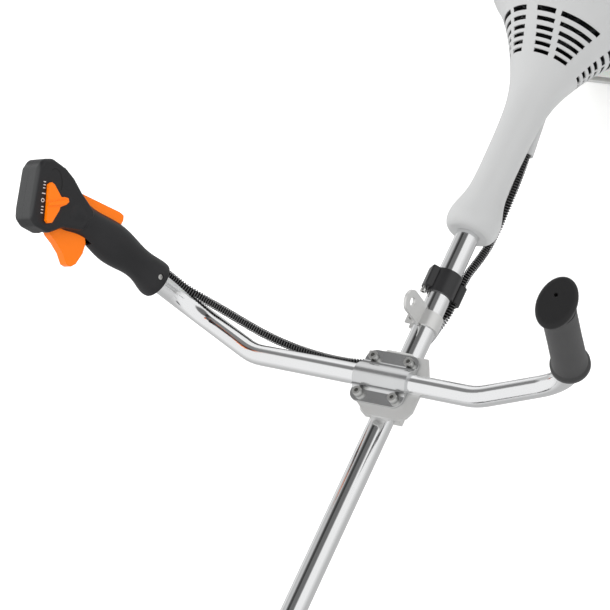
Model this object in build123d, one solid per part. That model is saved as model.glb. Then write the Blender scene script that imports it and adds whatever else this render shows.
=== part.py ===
from build123d import *
import math
import os

# String trimmer with a bicycle handlebar, modelled in millimetres.
#
# Working frame: +Y runs forward along the drive tube to the cutting head, +X is the operator's right,
# +Z is up, and z = 0 is the drive shaft axis. Every node is lifted by SHAFT_HEIGHT as it is saved, so
# that z = 0 in the files is the floor under the tank stand's foot.

# Drive line
SHAFT_HEIGHT = 148.0
TUBE_R = 12.7
TUBE_WALL = 1.6
TUBE_REAR = 172.0
TUBE_FRONT = 1440.0
SHAFT_R = 4.0
RUNNING_GAP = 0.05
SEAT_GAP = 0.05

# Handlebar
CLAMP_Y = 547.0
BAR_R = 11.1
BAR_WALL = 1.6
BAR_Z = 25.5
BAR_OFFSET = 29.0
BAR_HALF = 140.5
ARM = (99.0, -37.5, 3.0)
GRIP_DIRECTION = Vector(0.294, 0.031, 0.955).normalized()
BEND_RADII = (50.0, 60.0, 60.0, 50.0)
SCREW_X = 22.0
SCREW_Y = 21.5

# Engine
BORE_R = 17.4
CRANK_THROW = 16.0
ROD_LENGTH = 52.0
JOURNAL_R = 6.0
BEARING_R = 16.0
WALL = 2.5
NECK_END = 350.0
VENT_TURN = -6.3
VENT_ROWS = (213.9, 221.4, 228.9, 236.2, 244.7, 253.3)
DRUM_R = 92.0
PULLEY_R = 28.0
ROPE_R = 1.6
STARTER_Y = -78.0
HANDLE_Z = 72.0
STARTER_SCREWS = ((-47.4, 47.4), (47.4, 47.4), (-47.4, -47.4), (47.4, -47.4))

# Gear head and cutting head
GEAR_Y = 1500.0
HEAD_TILT = 30.0
GEAR_TEETH = 20
PINION_TEETH = 14
MODULE = 1.6
FACE_WIDTH = 8.0
OUTPUT_R = 6.0
GUARD_R = 200.0
GUARD_SKIRT = 58.0
GUARD_BOLTS = (90, 210, 330)
LINE_REACH = 186.0
LINE_R = 1.2
LINE_LEVEL = 46.0

# Control grip, in its own frame: x forward across the grip, y towards the machine, z up along it
HEAD_HALF = 16.0
TRIGGER_PIVOT = (10.0, 206.0)
LOCKOUT_PIVOT = (-15.0, 196.0)
GRIP_SCREWS = ((2, 69, 1), (2, 150, -1), (-24, 226, -1))

# Cable conduit
CONDUIT_R = 4.8
CONDUIT_BORE = 3.0
CABLE_R = 2.4

BAR_CENTRE = Vector(0.0, CLAMP_Y, BAR_Z)
RIGHT_BEND = BAR_CENTRE + Vector(BAR_OFFSET + BAR_HALF, 0.0, 0.0)
LEFT_BEND = BAR_CENTRE + Vector(BAR_OFFSET - BAR_HALF, 0.0, 0.0)
RIGHT_KNEE = RIGHT_BEND + Vector(*ARM)
LEFT_KNEE = LEFT_BEND + Vector(-ARM[0], ARM[1], ARM[2])
RIGHT_UP = GRIP_DIRECTION
LEFT_UP = Vector(-GRIP_DIRECTION.X, GRIP_DIRECTION.Y, GRIP_DIRECTION.Z)
FORWARD = Vector(0.0, 1.0, 0.0)
GRIP = Plane(origin=RIGHT_KNEE, x_dir=FORWARD - RIGHT_UP * FORWARD.dot(RIGHT_UP), z_dir=RIGHT_UP)
RUBBER = Plane(origin=LEFT_KNEE, x_dir=FORWARD - LEFT_UP * FORWARD.dot(LEFT_UP), z_dir=LEFT_UP)

TILT = math.radians(HEAD_TILT)
OUTPUT_AXIS = (0.0, math.sin(TILT), -math.cos(TILT))
GEAR = Plane(origin=(0.0, GEAR_Y, 0.0), x_dir=(1.0, 0.0, 0.0), z_dir=OUTPUT_AXIS)

SHAFT_ANGLE = math.radians(90.0 - HEAD_TILT)
GEAR_RATIO = GEAR_TEETH / PINION_TEETH
PINION_CONE = math.atan(math.sin(SHAFT_ANGLE) / (GEAR_RATIO + math.cos(SHAFT_ANGLE)))
GEAR_CONE = SHAFT_ANGLE - PINION_CONE
CONE_LENGTH = MODULE * GEAR_TEETH / 2 / math.sin(GEAR_CONE)

# Points of the conduit's route: across the handlebar's rear, under the tube, back to the housing
CONDUIT_ROUTE = [
    (288.6, -49.4, 93.8), (283.5, -49.9, 75.5), (273.0, -48.8, 56.0), (250.5, -45.2, 40.5),
    (222.0, -38.5, 35.0), (193.0, -30.5, 31.5), (165.0, -23.5, 28.0), (139.0, -19.6, 22.5),
    (112.0, -17.5, 17.0), (84.0, -17.0, 13.0), (58.0, -18.5, 10.5), (38.0, -26.0, 3.5),
    (21.0, -40.0, -10.0), (9.5, -56.0, -18.8), (1.0, -74.0, -21.6), (-4.6, -93.0, -19.6),
    (-7.3, -112.0, -18.2), (-7.3, -156.0, -18.2), (-8.2, -180.0, -26.0), (-7.0, -206.0, -34.5),
    (-9.0, -233.0, -32.8), (-11.4, -262.0, -26.8), (-12.4, -291.0, -23.6), (-11.0, -318.0, -21.0),
]


def rod(radius, start, axis, length):
    """Solid cylinder from a start point along an axis."""
    base = Cylinder(radius, length, align=(Align.CENTER, Align.CENTER, Align.MIN))
    return Plane(origin=start, z_dir=axis) * base


def y_rod(radius, y0, y1, x=0.0, z=0.0):
    return rod(radius, (x, y0, z), (0, 1, 0), y1 - y0)


def z_rod(radius, z0, z1, x=0.0, y=0.0):
    return rod(radius, (x, y, z0), (0, 0, 1), z1 - z0)


def x_rod(radius, x0, x1, y=0.0, z=0.0):
    return rod(radius, (x0, y, z), (1, 0, 0), x1 - x0)


def y_ring(outer, inner, y0, y1, x=0.0, z=0.0):
    return y_rod(outer, y0, y1, x, z) - y_rod(inner, y0 - 1, y1 + 1, x, z)


def block(x, y, z, radius=0.0):
    """Box between low and high values on each axis, with its edges rounded where a radius is given."""
    box = Box(x[1] - x[0], y[1] - y[0], z[1] - z[0])
    if radius > 0:
        box = fillet(box.edges(), radius)
    return Pos((x[0] + x[1]) / 2, (y[0] + y[1]) / 2, (z[0] + z[1]) / 2) * box


def turned_y(points):
    """Solid turned about the shaft axis from (radius, y) points."""
    return revolve(make_face(Polyline(*points, close=True)), Axis.Y)


def turned_z(points):
    """Solid turned about the local Z axis from (radius, z) points."""
    face = make_face(Plane.XZ * Polyline(*points, close=True))
    return revolve(face, Axis.Z)


def ring(outer, inner, z0, z1):
    return z_rod(outer, z0, z1) - z_rod(inner, z0 - 1, z1 + 1)


def grip_plate(points, half, low=None):
    """Plate across the control grip from (forward, along) points, with its faces at +-half."""
    base = -half if low is None else low
    face = Plane.XZ * make_face(Polyline(*points, close=True))
    plate = extrude(face, amount=half - base, dir=(0, 1, 0))
    return Pos(0, base, 0) * plate


# ---------------------------------------------------------------- drive line

def drive_tube():
    return y_ring(TUBE_R, TUBE_R - TUBE_WALL, TUBE_REAR, TUBE_FRONT)


def shaft_bushings():
    outer = TUBE_R - TUBE_WALL - SEAT_GAP
    return [y_ring(outer, SHAFT_R + 2 * RUNNING_GAP, y, y + 14) for y in (190, 430, 670, 910, 1150, 1390)]


def drive_shaft():
    return y_rod(SHAFT_R, 128, 1462)


def clutch_drum():
    cup = turned_y([(8, 122), (38, 122), (38, 100), (35.5, 100), (35.5, 119), (8, 119)])
    hub = y_ring(BEARING_R / 2 - RUNNING_GAP, SHAFT_R + 0.02, 119, 152)
    web = y_ring(9, SHAFT_R + 0.02, 119, 122)
    return cup + hub + web


def bevel_gear(teeth, cone, bore, back):
    """Straight bevel gear with its apex at the origin, opening along local +Z."""
    addendum = 0.85 * MODULE
    dedendum = 1.15 * MODULE
    half_pitch = math.pi * MODULE / 4
    lean = math.tan(math.radians(20.0))
    inner = CONE_LENGTH - FACE_WIDTH
    along = Vector(math.sin(cone), 0, math.cos(cone))
    out = Vector(math.cos(cone), 0, -math.sin(cone))

    def tooth_section(distance):
        scale = distance / CONE_LENGTH
        corners = []
        for side, height in ((-1, -dedendum - 0.3), (1, -dedendum - 0.3), (1, addendum), (-1, addendum)):
            width = half_pitch * 0.84 - height * lean
            corner = along * distance + out * height * scale + Vector(0, side * width * scale, 0)
            corners.append(corner)
        return Face(Wire.make_polygon(corners, close=True))

    tooth = Solid.make_loft([tooth_section(CONE_LENGTH).outer_wire(), tooth_section(inner).outer_wire()], True)
    root_out = along * CONE_LENGTH - out * dedendum
    root_in = along * inner - out * dedendum * inner / CONE_LENGTH
    blank = turned_z([
        (bore, root_in.Z), (root_in.X, root_in.Z), (root_out.X, root_out.Z), (root_out.X, back), (bore, back),
    ])
    all_teeth = [Rot(0, 0, 360.0 * index / teeth) * tooth for index in range(teeth)]
    return blank.fuse(*all_teeth)


def pinion_gear():
    rear = Plane(origin=(0, GEAR_Y, 0), x_dir=(0, 0, 1), z_dir=(0, -1, 0))
    half_tooth = 180.0 / PINION_TEETH
    gear = rear * (Rot(0, 0, half_tooth) * bevel_gear(PINION_TEETH, PINION_CONE, 0.0, 29.0))
    shank = y_rod(5.0, 1440, GEAR_Y - 28.5) - y_rod(SHAFT_R + 0.02, 1439, 1462.5)
    return gear + shank


def output_gear():
    up = Plane(origin=(0, GEAR_Y, 0), x_dir=(0, -1, 0), z_dir=tuple(-value for value in OUTPUT_AXIS))
    return up * bevel_gear(GEAR_TEETH, GEAR_CONE, 5.02, 27.0)


def output_shaft():
    upper = z_rod(5.0, -34, -13)
    lower = z_rod(OUTPUT_R, -13, 64)
    return GEAR * (upper + lower)


def ball_bearings():
    fit = BEARING_R - SEAT_GAP
    crank = [y_ring(fit, JOURNAL_R + SEAT_GAP, y, y + 9) for y in (-27, 18)]
    clutch = y_ring(fit, BEARING_R / 2, 130, 138)
    pinion = y_ring(11.5, 5.0 + RUNNING_GAP, 1443, 1452)
    upper = GEAR * ring(11.0, 5.0 + RUNNING_GAP, -34, -28)
    lower = GEAR * ring(14.0, OUTPUT_R + RUNNING_GAP, 6, 14)
    return crank + [clutch, pinion, upper, lower]


def gearbox_housing():
    barrel = GEAR * z_rod(25, -39, 18)
    flange = GEAR * z_rod(35, 13, 18)
    dome = GEAR * turned_z([(0, -44), (14, -43), (23, -39), (23, -38), (0, -38)])
    socket = y_rod(18, 1396, GEAR_Y)
    lug = block((-4.5, 4.5), (1402, 1430), (12, 29))
    ribs = [GEAR * (Rot(0, 0, angle) * block((22, 31), (-1.5, 1.5), (-26, 14))) for angle in (20, 160, 200, 340)]
    body = barrel + flange + dome + socket + lug + ribs
    body -= GEAR * z_rod(20, -27.6, 5.8)
    body -= GEAR * z_rod(11.05, -34.2, -20)
    body -= GEAR * z_rod(14.05, 5, 14.2)
    body -= GEAR * z_rod(8.5, 13, 19)
    for angle in GUARD_BOLTS:
        body -= GEAR * (Rot(0, 0, angle) * z_rod(2.55, 10, 19, 30))
    body -= y_rod(TUBE_R + SEAT_GAP, 1395, TUBE_FRONT)
    body -= y_rod(11.55, TUBE_FRONT - 1, 1452.2)
    body -= y_rod(15.5, 1452, GEAR_Y - 10)
    body -= x_rod(2.6, -10, 10, 1416, 23.5)
    body -= block((-1, 1), (1390, 1436), (10, 30))
    return body


# ---------------------------------------------------------------- cutting head

def thrust_plate():
    plate = turned_z([(OUTPUT_R + 0.02, 25), (42, 25), (47, 27), (47, 29), (OUTPUT_R + 0.02, 29)])
    holes = [Rot(0, 0, angle) * z_rod(2.6, 24, 30, 30) for angle in (0, 90, 180, 270)]
    return GEAR * (plate - holes)


def head_shell():
    shell = turned_z([
        (OUTPUT_R + 0.1, 29.2), (40, 29.2), (52, 32), (55, 37), (55, 56), (52, 61), (26, 62), (26, 59.5),
        (49, 58.5), (52, 55), (52, 38), (50, 34.5), (40, 32), (OUTPUT_R + 0.1, 32),
    ])
    ribs = [Rot(0, 0, 15 + 30 * index) * block((54, 56.5), (-2, 2), (38, 55)) for index in range(12)]
    shell += ribs
    for side in (-1, 1):
        shell += x_rod(6, 53 * side - 3, 53 * side + 3, 0, LINE_LEVEL) - z_rod(52, 36, 56)
        shell -= x_rod(LINE_R + 0.6, 53 * side - 6, 53 * side + 6, 0, LINE_LEVEL)
    return GEAR * shell


def line_spool():
    reel = turned_z([
        (OUTPUT_R + 0.3, 36), (48, 36), (48, 38), (20, 38), (20, 45), (47, 45), (47, 47), (20, 47), (20, 54),
        (48, 54), (48, 56), (OUTPUT_R + 6, 56), (OUTPUT_R + 6, 60), (OUTPUT_R + 0.3, 60),
    ])
    return GEAR * reel


def wound_line():
    turns = [turned_z([(20.5, z), (38, z), (38, z + 6), (20.5, z + 6)]) for z in (38.5, 47.5)]
    return [GEAR * turn for turn in turns]


def line_tail_points(side):
    """Route of one tail in the gear frame, from its eyelet to its cut end."""
    reach = LINE_REACH - 58
    return [
        (58 * side, 0.0, LINE_LEVEL),
        ((58 + reach * 0.34) * side, -1.5 * side, LINE_LEVEL + 0.4),
        ((58 + reach * 0.68) * side, -7.0 * side, LINE_LEVEL + 1.6),
        ((58 + reach * 0.985) * side, -16.5 * side, LINE_LEVEL + 3.6),
    ]


def tube_along(points, radius, bore=0.0):
    """Round cord along straight runs that tangent arcs join, and the radii of those arcs."""
    path_points = [Vector(*point) for point in points]
    radii = []
    for before, here, after in zip(path_points, path_points[1:], path_points[2:]):
        turn = math.radians((here - before).get_angle(after - here))
        shorter = min((here - before).length, (after - here).length)
        radii.append(0.45 * shorter / math.tan(turn / 2))
    path = FilletPolyline(*path_points, radius=radii)
    start = Plane(origin=path_points[0], z_dir=path_points[1] - path_points[0])
    solid = sweep(start * Circle(radius), path=path)
    if bore > 0:
        solid -= sweep(start * Circle(bore), path=path)
    return solid, radii, path.length


def cutting_line():
    return [GEAR * tube_along(line_tail_points(side), LINE_R)[0] for side in (-1, 1)]


def bump_knob():
    knob = turned_z([
        (0, 82), (14, 81.5), (22, 78), (24, 73), (24, 68.5), (18, 68.5), (18, 74.5), (0, 74.5),
    ])
    return GEAR * knob


def feed_spring():
    coils = [ring(12.6, 10.2, 62.2 + 1.82 * index, 63.4 + 1.82 * index) for index in range(7)]
    return [GEAR * coil for coil in coils]


def guard():
    outline = [
        (24, 18.2), (120, 19.5), (168, 23), (190, 30), (GUARD_R, 42), (GUARD_R, GUARD_SKIRT),
        (GUARD_R - 3.2, GUARD_SKIRT), (GUARD_R - 3.2, 42.6), (187.5, 32.4), (166.8, 26), (119.8, 22.7), (24, 21.4),
    ]
    face = make_face(Plane.XZ * Polyline(*outline, close=True))
    sweep_angle = 186.0
    shell = Rot(0, 0, 90 - sweep_angle / 2) * revolve(face, Axis.Z, revolution_arc=sweep_angle)
    hub = ring(36, 16, 18.2, 21.4)
    ribs = []
    for angle in (20, 55, 90, 125, 160):
        ribs.append(Rot(0, 0, angle) * block((36, 165), (-1.5, 1.5), (14.5, 20)))
    ends = [Rot(0, 0, 90 + side * (sweep_angle / 2 - 0.6)) * end_wall(side) for side in (-1, 1)]
    body = shell + hub + ribs + ends
    for angle in GUARD_BOLTS:
        body -= Rot(0, 0, angle) * z_rod(2.6, 10, 30, 30)
    placed = GEAR * body
    floor = block((-400, 400), (GEAR_Y - 400, GEAR_Y + 400), (-SHAFT_HEIGHT - 60, -SHAFT_HEIGHT))
    return placed - floor


def end_wall(side):
    """Radial lip that stiffens one end of the guard."""
    lip = make_face(Plane.XZ * Polyline(
        (60, 19), (120, 19.5), (168, 23), (190, 30), (GUARD_R - 1, 42), (GUARD_R - 1, 52), (186, 44), (160, 31),
        (120, 27), (60, 22), close=True))
    return extrude(lip, amount=1.4, both=True)


def line_cutter():
    blade = block((0, 1.6), (-15, 15), (43, 56)) + block((0, 1.6), (-15, -5), (43, 61))
    return GEAR * (Rot(0, 0, 34) * (Pos(GUARD_R - 6.2, 0, 0) * blade))


# ---------------------------------------------------------------- engine

def fan_housing():
    neck = [(21, 0), (25.5, 2.5), (28.6, 8.5), (29.4, 15), (28, 26), (24.5, 38)]
    waist = [(21.6, 52), (20.5, 66), (20.4, 98), (21.3, 136), (23.5, 162), (27, 180)]
    flare = [(35.8, 205), (42.6, 220), (50.3, 235), (59.3, 250), (70, 265), (83, 280)]
    outer = [(radius, NECK_END - back) for radius, back in neck + waist + flare]
    rim = (DRUM_R, NECK_END - 289)
    inner = [(radius - WALL, NECK_END - back) for radius, back in flare + [(DRUM_R - 0.4, 288.5)]]
    bore = TUBE_R + SEAT_GAP
    curve = Spline(*outer)
    shoulder = ThreePointArc(outer[-1], (88.6, NECK_END - 284.4), rim)
    inner_curve = Spline((bore + 6, NECK_END - 184), *inner)
    edges = [
        Line((bore, NECK_END), outer[0]), curve, shoulder, Line(rim, (DRUM_R, 60)),
        Line((DRUM_R, 60), (DRUM_R - WALL, 60)), Line((DRUM_R - WALL, 60), inner[-1]), inner_curve,
        Line((bore + 6, NECK_END - 184), (bore, NECK_END - 178)), Line((bore, NECK_END - 178), (bore, NECK_END)),
    ]
    shell = revolve(make_face(edges), Axis.Y)
    web = turned_y([(BEARING_R, 130), (40.6, 130), (36.6, 138.2), (BEARING_R, 138.2)])
    entry = Vector(*CONDUIT_ROUTE[-2]) + Vector(0, CLAMP_Y, 0)
    socket = Vector(*CONDUIT_ROUTE[-1]) + Vector(0, CLAMP_Y, 0)
    direction = (socket - entry).normalized()
    boss_start = socket - direction * 1.5
    shell += rod(7.4, boss_start, direction, 52) - y_rod(20, 120, 300)
    shell += web
    shell -= rod(CONDUIT_R + 0.15, entry, direction, (socket - entry).length + 0.2)
    shell -= y_rod(bore, NECK_END - 178, NECK_END + 5)
    for cutter in vent_cutters():
        shell -= cutter
    return shell


def vent_cutters():
    """Ring sectors that cut the rows of cooling slots, the same on both sides of the top rib."""
    cutters = []
    for row, back in enumerate(VENT_ROWS):
        spread = row / 5
        depth = 4.2 if row < 5 else 4.8
        columns = (
            (11.5 - 5.0 * spread, 35.5 - 8.9 * spread), (45.5 - 12.9 * spread, 69.5 + 8.0 * spread),
            (102.0, 120.0), (123.5, 142.0), (150.0, 172.0),
        )
        for first, last in columns:
            for side in (-1, 1):
                turn = VENT_TURN * side
                cutters.append(ring_sector(NECK_END - back, depth, first + turn, last + turn, side))
    return cutters


def ring_sector(y, width, first, last, side):
    """Sector of a ring about the shaft axis, between two angles from +Z towards -X (side 1) or +X (-1)."""
    start = -(90 + last) if side > 0 else -(90 - first)
    face = make_face(Polyline((22, y), (110, y), (110, y - width), (22, y - width), close=True))
    return Rot(0, start, 0) * revolve(face, Axis.Y, revolution_arc=last - first)


def crankcase():
    body = y_rod(38, -58, 56) + y_rod(DRUM_R, 56, 59.8) + y_rod(70, -60, -56)
    body += block((-30, 30), (-30, 30), (0, 44))
    for x in (-28, 28):
        body += block((x - 7, x + 7), (-36, 40), (-57.5, -20))
    body -= y_rod(31, -15, 15)
    body -= z_rod(BORE_R + 0.6, 0, 50)
    body -= y_rod(BEARING_R, -28, -14)
    body -= y_rod(BEARING_R, 14, 28)
    body -= y_rod(JOURNAL_R + 1, -70, 70)
    for x, z in STARTER_SCREWS:
        body -= y_rod(2.1, -70, -50, x, z)
    for angle in range(20, 380, 45):
        body -= Rot(0, angle, 0) * y_rod(13, 50, 70, 66)
    body -= y_rod(30, 34, 70)
    body -= y_rod(30, -70, -34)
    return body


def crankshaft():
    shaft = y_rod(JOURNAL_R, 11, 112) + y_rod(JOURNAL_R, -90, -11)
    for y in (-12, 6):
        cheek = y_rod(28, y, y + 6) - block((-40, 40), (y - 1, y + 7), (4, 40))
        shaft += cheek + block((-9, 9), (y, y + 6), (0, 23))
    return shaft + y_rod(5, -7, 7, 0, CRANK_THROW)


def connecting_rod():
    pin_z = CRANK_THROW + ROD_LENGTH
    beam = block((-4, 4), (-3, 3), (22, 64))
    ends = y_rod(9, -4.5, 4.5, 0, CRANK_THROW) + y_rod(7, -4.5, 4.5, 0, pin_z)
    return beam + ends - y_rod(5.05, -8, 8, 0, CRANK_THROW) - y_rod(4.05, -8, 8, 0, pin_z)


def piston():
    pin_z = CRANK_THROW + ROD_LENGTH
    body = z_rod(BORE_R - 0.05, pin_z - 10, pin_z + 16) - z_rod(14, pin_z - 11, pin_z + 12)
    body -= y_rod(4.0, -20, 20, 0, pin_z)
    for z in (8, 12):
        body -= ring(BORE_R + 1, BORE_R - 1.2, pin_z + z, pin_z + z + 1.5)
    pin = y_ring(3.98, 2.2, -16, 16, 0, pin_z)
    return [body, pin]


def cylinder():
    body = z_rod(21, 44, 102) + block((-28, 28), (-28, 28), (44, 50))
    for index in range(8):
        z = 54 + 6 * index
        body += block((-34, 34), (-33, 33), (z, z + 2))
    body += block((30, 36), (-14, 14), (56, 84)) + block((-36, -30), (-14, 14), (54, 82))
    body -= z_rod(BORE_R, 40, 88)
    body -= z_rod(6.0, 80, 110)
    body -= x_rod(7, 15, 40, 0, 70)
    body -= x_rod(6.5, -40, -15, 0, 66)
    return body


def flywheel():
    wheel = y_ring(64, JOURNAL_R + SEAT_GAP, 63, 69) + y_ring(17, JOURNAL_R + SEAT_GAP, 63, 96)
    blades = []
    for index in range(16):
        blade = block((15, 60), (68, 90), (-1.3, 1.3))
        blades.append(Rot(0, 22.5 * index, 0) * blade)
    wheel += blades
    wheel += y_ring(69, 62, 63, 72)
    return wheel


def clutch_carrier():
    plate = y_ring(13, JOURNAL_R + SEAT_GAP, 98, 112)
    for side in (-1, 1):
        plate += block((-5, 5), (103, 112), (min(11 * side, 24 * side), max(11 * side, 24 * side)))
    return plate


def clutch_shoes():
    shoes = []
    for side in (-1, 1):
        ring_part = y_ring(33, 14, 102, 113)
        side_box = block((2 if side > 0 else -40, 40 if side > 0 else -2), (100, 115), (-40, 40))
        carrier_room = block((-6, 6), (100, 115), (-40, 40))
        shoes.append((ring_part & side_box) - carrier_room)
    spring = y_ring(24, 22.4, 113.4, 115.4)
    return shoes + [spring]


def ignition_coil():
    core = block((-14, 14), (61, 69), (74, 78)) + block((-14, -9), (61, 69), (70.2, 76))
    core += block((9, 14), (61, 69), (70.2, 76))
    return core + block((-7.5, 7.5), (60.5, 69.5), (70.4, 77), 1.5)


def spark_plug():
    base = z_rod(5.9, 86, 102) + Pos(0, 0, 104.5) * extrude(RegularPolygon(9.5, 6), amount=7)
    return base + z_rod(9, 102, 104.6) + z_rod(5, 110, 124) + z_rod(3.2, 123, 129)


def plug_boot():
    boot = z_rod(8.5, 112.5, 138) - z_rod(5.2, 112, 129.5)
    return boot + block((-6, 6), (0, 17), (127, 137), 2)


def muffler():
    box = block((36.2, 66), (-28, 26), (56, 108), 5)
    return box - x_rod(6, 30, 45, 0, 70) - x_rod(4, 60, 70, 10, 96)


def muffler_guard():
    shell = block((58, 74), (-35, 33), (49, 115), 5) - block((50, 71.8), (-32.8, 30.8), (51.2, 112.8), 3)
    shell -= block((50, 67), (-40, 40), (40, 120))
    for index in range(6):
        z = 58 + 9 * index
        shell -= block((60, 80), (-26, 24), (z, z + 4.5))
    return shell


def carburettor():
    body = block((-61, -36.2), (-15, 15), (51, 83), 2)
    bowl = z_rod(10, 42, 52, -48)
    throttle_drum = z_rod(7, 83, 88, -48, 4)
    return body + bowl + throttle_drum - x_rod(6.5, -70, -30, 0, 66)


def air_filter_element():
    pad = block((-80, -66), (-31, 31), (53, 107), 3)
    pleats = [block((-82, -79), (y, y + 3), (57, 103)) for y in range(-27, 26, 6)]
    return pad + pleats


def air_filter_cover():
    shell = block((-94, -50), (-38, 38), (46, 114), 7) - block((-91.6, -40), (-35.6, 35.6), (48.4, 111.6), 5)
    shell -= block((-64, -40), (-60, 60), (30, 130))
    shell += x_rod(8, -97, -91, 0, 80) - x_rod(4, -99, -95, 0, 80)
    for index in range(4):
        z = 56 + 6 * index
        shell -= block((-90, -70), (-45, -30), (z, z + 2.6))
    return shell


def engine_cover():
    shell = block((-62, 64), (-62, 70), (-6, 150), 12) - block((-59.5, 61.5), (-59.5, 60), (-10, 147.5), 9.5)
    shell -= block((-80, 80), (55.6, 90), (-40, 160))
    shell -= block((-80, 80), (-80, 80), (-40, 20))
    shell -= y_rod(71.5, -80, -40)
    shell -= block((50, 70), (-36.5, 34.5), (47.5, 116.5))
    shell -= block((-70, -50), (-30, 30), (50, 90))
    shell -= x_rod(9.6, -70, -55, 20, 34)
    for index in range(7):
        y = -44 + 12 * index
        shell -= block((-30, 32), (y, y + 5), (140, 155))
    for index in range(4):
        z = 84 + 12 * index
        shell -= block((-36, 38), (-70, -50), (z, z + 4.5))
    return shell


def fuel_tank():
    outer = block((-68, 68), (-52, 50), (-138, -58.5), 10)
    body = outer - block((-65.4, 65.4), (-49.4, 47.4), (-135.4, -61.1), 8)
    body += x_rod(15, -74, -60, -18, -92) - x_rod(12, -80, -50, -18, -92)
    return body - x_rod(12, -80, -60, -18, -92)


def fuel_cap():
    cap = x_rod(18.5, -88, -74.3, -18, -92) - x_rod(15.4, -76.8, -70, -18, -92)
    plug = x_rod(11.6, -78, -68, -18, -92)
    notches = []
    for index in range(12):
        notch = rod(2.2, (-90, 0, 19.4), (1, 0, 0), 13)
        notches.append(Pos(0, -18, -92) * (Rot(30 * index, 0, 0) * notch))
    return cap + plug + block((-91, -87), (-31, -5), (-94.5, -89.5), 1) - notches


def tank_stand():
    foot = block((-66, 66), (-50, 48), (-148, -142.5)) - block((-46, 46), (-30, 28), (-150, -140))
    for x in (-58, 44):
        foot += block((x, x + 14), (-44, 42), (-144, -138.3))
    wall = block((-66, 66), (-58, -53), (-148, -76)) - block((-50, 50), (-60, -50), (-136, -90))
    return foot + wall + block((-66, 66), (-54, -48), (-148, -142.5))


def starter_cover():
    y = STARTER_Y
    shell = turned_y([
        (0, -106), (36, -105), (56, -97), (63.5, -86), (63.5, -60.2), (61, -60.2), (61, -85), (54.5, -94.6),
        (35, -102.4), (0, -103.4),
    ])
    boss = z_rod(8, 52, 69, PULLEY_R + ROPE_R, y)
    shell += boss - y_rod(60, -120, -50)
    shell += y_ring(70, 61, -63, -60.2)
    for x, z in STARTER_SCREWS:
        shell -= y_rod(2.1, -70, -50, x, z)
    shell -= z_rod(ROPE_R + 0.9, 40, 80, PULLEY_R + ROPE_R, y)
    for index in range(12):
        slot = block((22, 46), (-110, -95), (-2.2, 2.2))
        shell -= Rot(0, 30 * index + 15, 0) * slot
    return shell


def starter_pulley():
    y = STARTER_Y
    inner = JOURNAL_R + 2 * RUNNING_GAP
    return turned_y([
        (inner, y - 6), (34, y - 6), (34, y - 4), (PULLEY_R - 0.3, y - 2.2), (PULLEY_R - 0.3, y + 2.2), (34, y + 4),
        (34, y + 6), (20, y + 6), (20, y + 9), (inner, y + 9),
    ])


def starter_rope():
    return z_rod(ROPE_R, 0, HANDLE_Z + 2, PULLEY_R + ROPE_R, STARTER_Y)


def starter_handle():
    x = PULLEY_R + ROPE_R
    bar = block((x - 27, x + 27), (STARTER_Y - 9, STARTER_Y + 9), (HANDLE_Z + 4, HANDLE_Z + 20), 7)
    stem = z_rod(9, HANDLE_Z, HANDLE_Z + 10, x, STARTER_Y)
    return bar + stem - z_rod(ROPE_R + 0.2, HANDLE_Z - 1, HANDLE_Z + 12, x, STARTER_Y)


def choke_lever():
    disc = x_rod(6, -66.5, -62.4, -48, 62)
    arm = block((-66.5, -64), (-50.5, -45.5), (62, 84), 1)
    return disc + arm + block((-72, -64), (-51, -45), (79, 84.5), 1.5)


def primer_bulb():
    dome = Pos(-63, 20, 34) * Sphere(9.2) - block((-63, -40), (0, 40), (20, 60))
    return dome + x_rod(9.2, -63, -58, 20, 34)


def screw(radius, length, head_radius, head_height, socket=True):
    """Cap screw along local +Z with its head's underside at z = 0 and its shank below."""
    body = z_rod(radius, -length, 0) + z_rod(head_radius, 0, head_height)
    if socket:
        hexagon = extrude(RegularPolygon(head_radius * 0.52, 6), amount=head_height)
        body -= Pos(0, 0, head_height * 0.35) * hexagon
    return body


def housing_screws():
    screws = []
    for x, z in STARTER_SCREWS:
        place = Plane(origin=(x, -63.05, z), z_dir=(0, -1, 0))
        screws.append(place * screw(2.0, 6.0, 3.0, 2.4))
    for forward, along, entry in GRIP_SCREWS:
        spot = GRIP.from_local_coords(Vector(forward, entry * (screw_reach(along) + 0.05), along))
        fixing = screw(1.6, screw_length(along), 3.0, 0.9)
        screws.append(Plane(origin=spot, z_dir=GRIP.y_dir * entry) * fixing)
    for angle in GUARD_BOLTS:
        below = Plane(origin=(0, 0, 21.6), z_dir=(0, 0, 1))
        screws.append(GEAR * (Rot(0, 0, angle) * (Pos(30, 0, 0) * (below * screw(2.5, 7, 3.4, 2.6)))))
    screws.append(Plane(origin=(4.6, 1416, 23.5), z_dir=(1, 0, 0)) * screw(2.5, 11, 4.2, 4))
    return screws


# ---------------------------------------------------------------- handlebar

def handlebar_path():
    right_end = RIGHT_KNEE + RIGHT_UP * 112
    left_end = LEFT_KNEE + LEFT_UP * 176
    return FilletPolyline(right_end, RIGHT_KNEE, RIGHT_BEND, LEFT_BEND, LEFT_KNEE, left_end, radius=list(BEND_RADII))


def handlebar():
    path = handlebar_path()
    section = Plane(origin=RIGHT_KNEE + RIGHT_UP * 112, z_dir=RIGHT_UP * -1)
    outer = sweep(section * Circle(BAR_R), path=path)
    forward, along, entry = GRIP_SCREWS[0]
    pilot = GRIP * screw_hole(forward, along, entry)
    return outer - sweep(section * Circle(BAR_R - BAR_WALL), path=path) - pilot


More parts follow.
